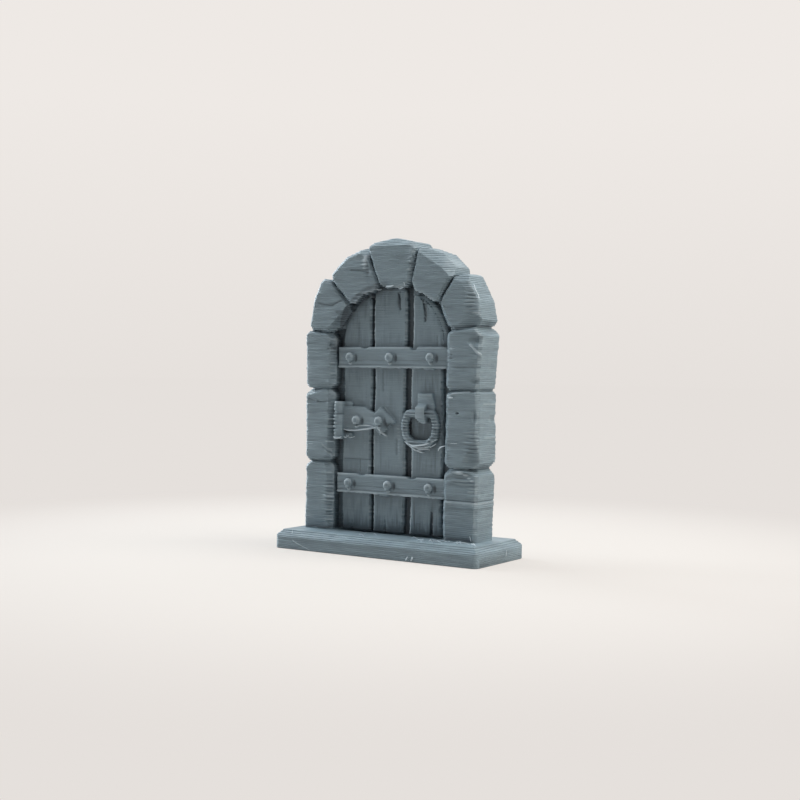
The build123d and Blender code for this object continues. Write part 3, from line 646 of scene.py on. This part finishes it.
class Skin:
    """The vertices of a mesh in millimetres, which way each faces, and what it is part of."""

    def __init__(self, mesh):
        self.points = rows(mesh.vertices, "co") / MM
        self.normals = rows(mesh.vertex_normals, "vector")
        self.x, self.y, self.z = x, y, z = self.points.T  # these follow when the points move
        self.right, self.back, self.up = self.normals.T
        self.upright = 1 - np.abs(self.up)  # 1 on a wall, and 0 on a level face
        self.facing = smoothstep(-self.back, 0.2, 0.7)  # 1 on what faces the front
        # How far each lies from the opening's middle, and how far it faces away from it
        from_middle = np.abs(x - DOOR_MIDDLE)
        self.reach = np.where(z > SPRING, np.hypot(from_middle, z - SPRING), from_middle)
        outward = self.right * (x - DOOR_MIDDLE) + self.up * np.clip(z - SPRING, 0, None)
        self.outward = outward / self.reach
        # 1 above the base, in the arch, on the stones and on the planks' faces
        self.above = past(z, BASE_TOP, ABOVE_BASE)
        self.in_arch = past(z, SPRING, INTO_ARCH)
        around_opening = past(self.reach, OPENING_HALF, INTO_STONE) * self.above
        self.stone = np.maximum(around_opening, past(z, CROWN, INTO_CROWN))
        self.wood = (1 - self.stone) * self.above * within(np.abs(y), -PLANK_FRONT, PLANK_SLACK)
        self.shift = layer_shift(self.points, LAYER_SEED)


def nail_rim(skin, nail):
    """1 on the raised edge of a nail's head."""
    x, face, z = nail
    from_nail = np.hypot(skin.x - x, skin.z - z)
    return close_to(from_nail, NAIL_RIM, NAIL_RIM_HALF) * (skin.y < face - NAIL_RIM_FOOT)


def iron_relief(skin):
    """The straps' pressed lines and lips, and the nails' edges, dishes and drips."""
    moved = np.zeros(len(skin.points))
    in_opening = within(skin.x, DOOR_MIDDLE, OPENING_HALF)
    on_strap = skin.facing * within(skin.y, STRAP_FRONT, STRAP_SLACK) * in_opening
    for middle, height in STRAPS:
        top = middle + height / 2
        for share, width, depth in STRAP_LINES:
            moved -= depth * close_to(skin.z, top - share * height, width) * on_strap
    for nail in NAILS:
        moved += NAIL_RIM_HEIGHT * nail_rim(skin, nail)
        for offset, size, height in NAIL_RELIEF:
            moved += height * around(skin.points, np.add(nail, offset), size)
    return moved


def line_relief(skin):
    """The seams, ridges and cracks, which waver a little from layer to layer."""
    moved = np.zeros(len(skin.points))
    strayed = skin.points + np.outer(skin.shift, (LINE_STRAY, 0, 0))
    for path, face, width, depth in LINES:
        moved -= depth * beside(strayed, path, width) * skin.facing * within(skin.y, face, LINE_DEPTH)
    return moved


def side_relief(skin):
    """The beads on the outer side of the second stone on the right."""
    moved = np.zeros(len(skin.points))
    for height, front, back in SIDE_BEADS:
        moved += BEAD * close_to(skin.z, height, BEAD_HALF) * (skin.y > front) * (skin.y < back)
    return moved * (skin.right > 0.6) * (skin.x > SIDE)


def nail_spread(skin):
    """What the nails' heads stand out sideways."""
    moved = np.zeros(len(skin.points))
    for x, face, z in NAILS:
        on_head = (np.hypot(skin.x - x, skin.z - z) < NAIL_REACH) * (skin.y < face - NAIL_FOOT)
        moved += NAIL_SPREAD * on_head * (1 - skin.facing)
    return moved


def on_ring(skin):
    """1 along the middle of the ring's bar."""
    near = (skin.y > RING_FRONT) * (skin.y < RING_BACK) * (skin.z < RING_TOP)
    return beside(skin.points, (*RING, RING[0]), RING_HALF) * near


def rib_relief(skin, bar):
    """Layers that stand in and out: on the stones, round the ring's bar and along the planks' edges."""
    ragged = skin.points + np.outer(skin.shift, (RIB_STRAY, 0, 0))
    ribbed = sum(height * around(ragged, middle, size) for middle, size, height in RIBBED)
    comb = np.cos(2 * pi * skin.z / RIB + drawn(skin.points, COMB_WAVER))
    ribs = ribbed * (RIB_SHIFT * skin.shift + RIB_COMB * comb) * (1 - RIB_SLOPE * np.abs(skin.up))
    bar_comb = np.cos(2 * pi * skin.z / RING_RIB)
    ribs += bar * (RING_COMB * bar_comb + RING_SHIFT * skin.shift) * skin.upright
    in_opening = (skin.reach < OPENING_HALF - 1) * (skin.z > BASE_TOP) * (np.abs(skin.y) < PLANK_BACK)
    ribs += PLANK_SHIFT * skin.shift * smoothstep(np.abs(skin.right), 0.3, 0.7) * in_opening
    return ribs


def stone_relief(skin):
    """The stones' roughness, the ribs along their upright edges, and the slip in the first on the right."""
    edge = np.clip(4 * np.abs(skin.right * skin.back), 0, 1) * skin.upright
    moved = skin.stone * (drawn(skin.points, STONE_ROUGHNESS) + edge * drawn(skin.points, STONE_EDGE_RIBS))
    slipped = (skin.x > SLIP_STONE) * within(skin.z, SLIP, SLIP_REACH) * skin.upright
    moved += slipped * SLIP_EDGE * (1 - smoothstep(skin.z, SLIP - SLIP_RISE, SLIP))
    moved -= slipped * SLIP_GROOVE * close_to(skin.z, SLIP + GROOVE_RISE, GROOVE_HALF)
    return moved


def stair_relief(skin):
    """The steps that make a slope, one to a layer, deepest where it overhangs."""
    height = np.where(skin.z < BASE_TOP, BASE_STEP, OTHER_STEP)
    height = np.where(skin.up < 0, OVERHANG_STEP, height) * LAYER
    slope = np.abs(skin.up) * (np.abs(skin.up) < LEVEL)
    return -height * slope * np.cos(2 * pi * skin.z / LAYER)


def hang(skin):
    """How far the undersides sagged, which nothing held up."""
    under = np.clip(-skin.up - SAG_START, 0, 1) * (skin.z > BASE_TOP + SAG_CLEAR)
    return np.clip(under * (SAG + drawn(skin.points, DRIPS)), *SAG_RANGE)


def fill_gap(skin):
    """Brings the gap between the planks and the arch up to where plastic ran into it."""
    start = SPRING + np.where(skin.x < DOOR_MIDDLE, FILLED_LEFT, FILLED_RIGHT)
    gap = (skin.z > start) & (skin.z < SPRING + FILLED_TOP) & (skin.y < 0) & (skin.y > FILLED)
    inner, outer = FILLED_BAND
    gap &= (skin.reach > OPENING_HALF + inner) & (skin.reach < OPENING_HALF + outer)
    for groove, half_width in GROOVES:
        gap &= np.abs(skin.x - groove) > half_width
    skin.y[gap] = FILLED + FILLED_SLACK * (skin.y[gap] - FILLED)


# ---------------------------------------------------------------- painted light and shade, on the vertices


def slip_tone(skin):
    """Painted shade in the slip's groove, and a painted highlight on the edge under it."""
    edge = SLIP_EDGE_TONE * close_to(skin.z, SLIP - 0.2, 0.2)
    groove = SLIP_GROOVE_TONE * close_to(skin.z, SLIP + GROOVE_RISE, 0.2)
    return (skin.x > SLIP_STONE) * skin.upright * (edge + groove)


def plank_tone(skin):
    """Painted highlights on the planks' left edges, and painted shade at the bottom of the gaps beside them.
    """
    tone = np.zeros(len(skin.points))
    rims = smoothstep(-skin.right, 0.1, 0.5) * smoothstep(-skin.back, 0.2, 0.4)  # what faces left and front
    rims *= (skin.stone == 0) * within(skin.y, PLANK_FRONT + 0.1, 0.25)
    sunken = (skin.y > PLANK_FRONT + 0.35) * (skin.y < 0) * skin.above
    for groove, half_width in GROOVES:
        tone += PLANK_EDGE_TONE * rims * within(skin.x, groove + half_width, 0.5)
        tone += PLANK_GAP_TONE * sunken * within(skin.x, groove, half_width + 0.2)
    return tone


def arch_tone(skin):
    """Dark where the left of the arch shades the planks' tops, and on the left of its own underside."""
    tops = smoothstep(skin.reach, OPENING_HALF - 2, OPENING_HALF) * (skin.reach < OPENING_HALF + 0.3)
    tops *= (skin.x < DOOR_MIDDLE) * (skin.y < -0.5)
    underside = smoothstep(-skin.outward, 0.5, 0.9) * within(skin.reach, OPENING_HALF + 0.2, 1.0)
    underside *= (skin.y < -1.2) * smoothstep(DOOR_MIDDLE + 1 - skin.x, 0, 4)
    return skin.in_arch * (ARCH_SHADE * tops + UNDERSIDE_SHADE * underside)


def nail_tone(skin):
    """A painted highlight on the upper left of a nail's edge, and painted shade at its lower right, beside it
    and under it.
    """
    tone = np.zeros(len(skin.points))
    offset, size, amount = NAIL_EDGE_TONE
    for nail in NAILS:
        tone += amount * nail_rim(skin, nail) * around(skin.points, np.add(nail, offset), size)
        for place, spread, shade in NAIL_TONES:
            tone += shade * around(skin.points, np.add(nail, place), spread)
    return tone


def tones(skin, pressed, ribs, bar):
    """Painted light and shade: above 0 how pale the plastic is, as a painted highlight where it stands out
    and where it was dragged, and below 0 how dark the painted shade is where it lies back.
    """
    tone = sum(amount * around(skin.points, middle, size) for middle, size, amount in TONES)
    tone += PRESSED_TONE * np.clip(pressed, *PRESSED_RANGE) + RIB_TONE * np.clip(ribs, *RIB_RANGE)
    tone += BAR_TONE * bar
    return tone + slip_tone(skin) + plank_tone(skin) + arch_tone(skin) + nail_tone(skin)


NEAR_SPREAD, WIDE_SPREAD = 0.35, 1.0  # how far about a point to look for what it lies behind
SHADE_GROWTH = 1.6  # how fast the painted shade darkens with the depth of a groove
DARKEST_SHADE = 0.92  # and how far it goes
STRING_PALENESS = 0.85


def paint(mesh, name, values):
    """Stores a value for each vertex, which the plastic's material reads by name."""
    mesh.attributes.new(name, "FLOAT", "POINT").data.foreach_set("value", values.astype(np.float32))


def paint_door(mesh, skin, tone):
    """Paints the shade in the grooves and the painted shadows, the painted highlights and other paleness, and
    how rough the plastic is.
    """
    near, wide = sunk(skin.points, NEAR_SPREAD), sunk(skin.points, WIDE_SPREAD)
    off_base = skin.z > BASE_TOP + 0.2
    outer_side = smoothstep(skin.reach, 16, 17) * smoothstep(skin.outward, 0.4, 0.8)
    # Painted shade where a point lies behind what surrounds it and where a painted shadow falls, and a
    # painted highlight where it stands in front
    deep = 0.5 * np.clip(near, 0, None) + (0.4 - 0.2 * skin.stone) * np.clip(wide, 0, None)
    deep = off_base * (1 - outer_side) * deep + np.clip(-tone, 0, None) / SHADE_GROWTH
    pale = np.clip(tone, 0, 1) + 0.6 * np.clip(-near - 0.05, 0, 0.6) * off_base
    rough = 0.6 + 0.4 * skin.stone - 0.3 * skin.wood
    paint(mesh, "deep", DARKEST_SHADE * (1 - np.exp(-SHADE_GROWTH * deep)))
    paint(mesh, "pale", np.clip(pale, 0, 1))
    paint(mesh, "rough", np.where(skin.z < BASE_TOP + 0.1, 1.0, rough))


# ---------------------------------------------------------------- the printed door


def settled(piece):
    """The piece with its modifiers applied."""
    graph = bpy.context.evaluated_depsgraph_get()
    mesh = bpy.data.meshes.new_from_object(piece.evaluated_get(graph))
    piece.modifiers.clear()
    piece.data = mesh
    return piece


def skin_of(node):
    """A copy of a CAD node, as one even skin of small quads with softened edges."""
    shell = bmesh.new()
    shell.from_mesh(node.data)
    bmesh.ops.remove_doubles(shell, verts=shell.verts, dist=SAME_PLACE * MM)
    mesh = bpy.data.meshes.new("printed_door")
    shell.to_mesh(mesh)
    shell.free()
    piece = show(bpy.data.objects.new("printed_door", mesh))
    remesh = piece.modifiers.new("skin", "REMESH")
    remesh.mode = "VOXEL"
    remesh.voxel_size = SKIN * MM
    return settled(piece)


def finish(piece):
    """Gives a piece the plastic, and ties it to the door."""
    piece.data.materials.clear()
    piece.data.materials.append(bpy.data.materials.get("printed_pla") or printed_pla())
    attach(piece, "root")


def printed_door():
    """The CAD's door with the relief that it lacks, its skin moved along its own normals."""
    piece = skin_of(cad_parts["dungeon_door"])
    mesh = piece.data
    skin = Skin(mesh)
    pressed = iron_relief(skin) + side_relief(skin) + line_relief(skin)
    bar = on_ring(skin)
    ribs = rib_relief(skin, bar)
    tone = tones(skin, pressed, ribs, bar)

    moved = pressed + nail_spread(skin)
    moved += ribs + stone_relief(skin) + skin.wood * drawn(skin.points, PLANK_GRAIN)
    for middle, size, depth in DENTS:
        moved -= depth * around(skin.points, middle, size)
    moved += stair_relief(skin)
    hanging = hang(skin)
    skin.points += skin.normals * moved[:, None]
    skin.z -= hanging
    fill_gap(skin)
    mesh.vertices.foreach_set("co", (skin.points * MM).ravel())
    mesh.update()
    paint_door(mesh, skin, tone)

    thin = piece.modifiers.new("thin", "DECIMATE")
    thin.ratio = MOST_TRIANGLES / (2 * len(mesh.polygons))
    settled(piece)
    piece.data.shade_smooth()
    finish(piece)
    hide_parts("dungeon_door")
    return piece


# ---------------------------------------------------------------- stray strings of plastic

# Each string's points, and its thickness
STRINGS = (
    # across from the ring to the second stone on the right
    (((9.4, -2.4, 17.75), (9.8, -2.7, 18.2), (10.5, -3.0, 18.5), (11.3, -3.3, 18.65)), 0.22),
    (((12.3, -3.3, 19.1), (12.9, -3.32, 19.15), (13.5, -3.3, 19.1)), 0.1),
    # sagged from the ring's foot
    (((2.9, -2.5, 19.0), (4.5, -2.9, 18.35), (5.9, -2.9, 18.4), (7.3, -2.8, 18.7), (9.2, -2.4, 19.6)), 0.28),
    (((3.0, -2.2, 18.75), (4.5, -2.6, 18.0), (5.3, -2.5, 17.55), (6.3, -2.1, 17.3)), 0.26),
    (((3.4, -2.2, 18.6), (4.9, -2.7, 18.1), (6.4, -2.7, 18.05), (8.0, -2.5, 18.4)), 0.26),
    (
        ((4.8, -2.3, 17.55), (5.7, -2.5, 17.75), (6.6, -2.5, 17.85), (7.2, -2.4, 17.95), (7.7, -2.2, 17.8)),
        0.22,
    ),
    (((7.8, -2.4, 18.2), (8.6, -2.5, 18.55), (9.0, -2.4, 18.85)), 0.22),
    (((5.2, -1.8, 17.45), (5.8, -2.1, 17.2), (6.4, -1.8, 17.3)), 0.2),
    # along the foot of the hinge's leaf, and hanging from its arrow head
    (
        (
            (-10.0, -2.3, 20.7),
            (-8.9, -2.45, 20.45),
            (-7.1, -2.45, 20.5),
            (-5.5, -2.45, 20.7),
            (-3.0, -2.4, 21.15),
        ),
        0.26,
    ),
    (((-6.8, -2.35, 21.2), (-5.7, -2.4, 21.4), (-4.5, -2.4, 21.45), (-3.5, -2.35, 21.25)), 0.18),
    (((-3.0, -2.3, 21.3), (-2.3, -2.3, 20.8), (-1.7, -2.1, 20.05), (-1.2, -1.9, 19.8)), 0.34),
    # loops below the hinge's barrel
    (((-11.2, -3.2, 19.3), (-10.5, -3.3, 18.8), (-9.6, -3.0, 19.35)), 0.3),
    (((-9.5, -2.4, 19.4), (-9.2, -2.6, 18.95), (-8.8, -2.0, 19.6)), 0.2),
    (((-9.3, -2.0, 19.6), (-8.5, -2.3, 19.0), (-7.6, -1.9, 19.4)), 0.22),
)

# The same for strings that lie on the door, which is found straight behind each point
LYING = (
    # at the keystone's foot
    (((-2.7, -2.9, 44.3), (-2.2, -3.0, 44.1), (-1.8, -2.9, 44.3)), 0.35),
    (((-0.9, -2.9, 44.75), (-0.1, -3.0, 44.6), (0.6, -2.9, 44.85)), 0.32),
    (((1.6, -2.9, 44.35), (2.0, -3.0, 44.2), (2.5, -2.9, 44.5)), 0.35),
    (((2.6, -2.9, 45.3), (2.9, -3.0, 44.9), (2.8, -2.8, 44.5)), 0.25),
    # the bright fleck at the top of the second stone on the right
    (((11.6, -3.25, 26.5), (12.1, -3.4, 26.6), (12.6, -3.3, 26.45)), 0.3),
    # along the outer edge of the fourth stone on the right
    (((16.1, -3.2, 44.6), (16.4, -3.25, 43.6), (16.95, -3.15, 42.85), (17.0, -3.05, 42.3)), 0.3),
    # at the foot of the first stone on the right, and on the base's edge
    (((16.1, -3.3, 4.4), (16.25, -3.35, 4.0), (16.35, -3.3, 3.6)), 0.16),
    (
        (
            (-16.9, -6.8, 3.2),
            (-16.6, -7.5, 2.65),
            (-16.3, -7.9, 1.6),
            (-14.9, -7.9, 1.0),
            (-12.5, -7.9, 0.25),
        ),
        0.1,
    ),
    (((20.0, 1.9, 1.95), (20.05, 1.75, 1.5), (20.0, 1.65, 0.95)), 0.18),
    (((6.9, -7.85, 0.2), (7.25, -8.0, 0.5), (7.3, -7.9, 0.85)), 0.3),
    (((7.9, -7.85, 0.25), (8.3, -8.0, 0.5), (8.2, -7.9, 0.95)), 0.35),
)
SEARCH = 5  # how far before a point the search for the door behind it starts
TIP = 0.5  # thickness of a string's ends, as a share of its own

CRUMBS = 26  # short bits of string left on the base's top
CRUMBS_Y = (-6.0, -3.5)
CRUMBS_RIGHT = 18
CRUMBS_LEFT = (-15, 8)  # every third lies anywhere from the first x on, and the others from the second on
CRUMB_REACH = (0.8, 0.3)  # the most that half a crumb spans, along the door and across it
CRUMB_LIFT, CRUMB_TILT, CRUMB_ARCH = 0.05, 0.1, 0.3  # height of its middle, its ends and its bow
CRUMB_THICKNESS = (0.14, 0.24)


def laid(path, thickness, door):
    """The path moved back, as the camera looks, until it touches the door."""
    touching = []
    for place in path:
        back = (Vector(place) * MM - CAMERA_PLACE).normalized()
        found, spot, _, _ = door.ray_cast(Vector(place) * MM - SEARCH * MM * back, back)
        touching.append(spot / MM - back * thickness / 4 if found else Vector(place))
    return touching


def crumbs():
    """The crumbs' paths and thicknesses, scattered by chance."""
    chance = np.random.default_rng(21)
    bow = Vector((0, 0, CRUMB_ARCH))
    scattered = []
    for number in range(CRUMBS):
        left = CRUMBS_LEFT[0 if number % 3 == 0 else 1]
        x, y = chance.uniform(left, CRUMBS_RIGHT), chance.uniform(*CRUMBS_Y)
        middle = Vector((x, y, BASE_TOP + CRUMB_LIFT))
        half = Vector((*(chance.uniform(-reach, reach) for reach in CRUMB_REACH), CRUMB_TILT))
        path = (middle - half, middle + bow, middle + half)
        scattered.append((path, chance.uniform(*CRUMB_THICKNESS)))
    return scattered


def string_curve(strings):
    """A curve with a round tube along each path, which thins to its tips."""
    data = bpy.data.curves.new("stray_strings", "CURVE")
    data.dimensions = "3D"
    data.bevel_depth = 1.0  # a point's radius is then the tube's own
    data.bevel_resolution = 2
    data.resolution_u = 6
    data.use_fill_caps = True
    for path, thickness in strings:
        line = data.splines.new("NURBS")
        line.points.add(len(path) - 1)
        for number, (point, place) in enumerate(zip(line.points, path)):
            at_tip = number in (0, len(path) - 1)
            point.co = (*Vector(place) * MM, 1)
            point.radius = thickness / 2 * MM * (TIP if at_tip else 1)
        line.order_u = 3
        line.use_endpoint_u = True
    return data


def stray_strings(door):
    """Thin strings that the nozzle drew out and left, as one piece."""
    lying = [(laid(path, thickness, door), thickness) for path, thickness in LYING]
    curve = string_curve((*STRINGS, *lying, *crumbs()))
    drawn_strings = show(bpy.data.objects.new("drawn_strings", curve))
    graph = bpy.context.evaluated_depsgraph_get()
    mesh = bpy.data.meshes.new_from_object(drawn_strings.evaluated_get(graph))
    bpy.data.objects.remove(drawn_strings)
    mesh.shade_smooth()
    paint(mesh, "pale", np.full(len(mesh.vertices), STRING_PALENESS))
    finish(show(bpy.data.objects.new("stray_strings", mesh)))


bpy.context.scene.view_settings.view_transform = "Standard"
make_camera()
light_studio()
lay_floor()
door = printed_door()
stray_strings(door)
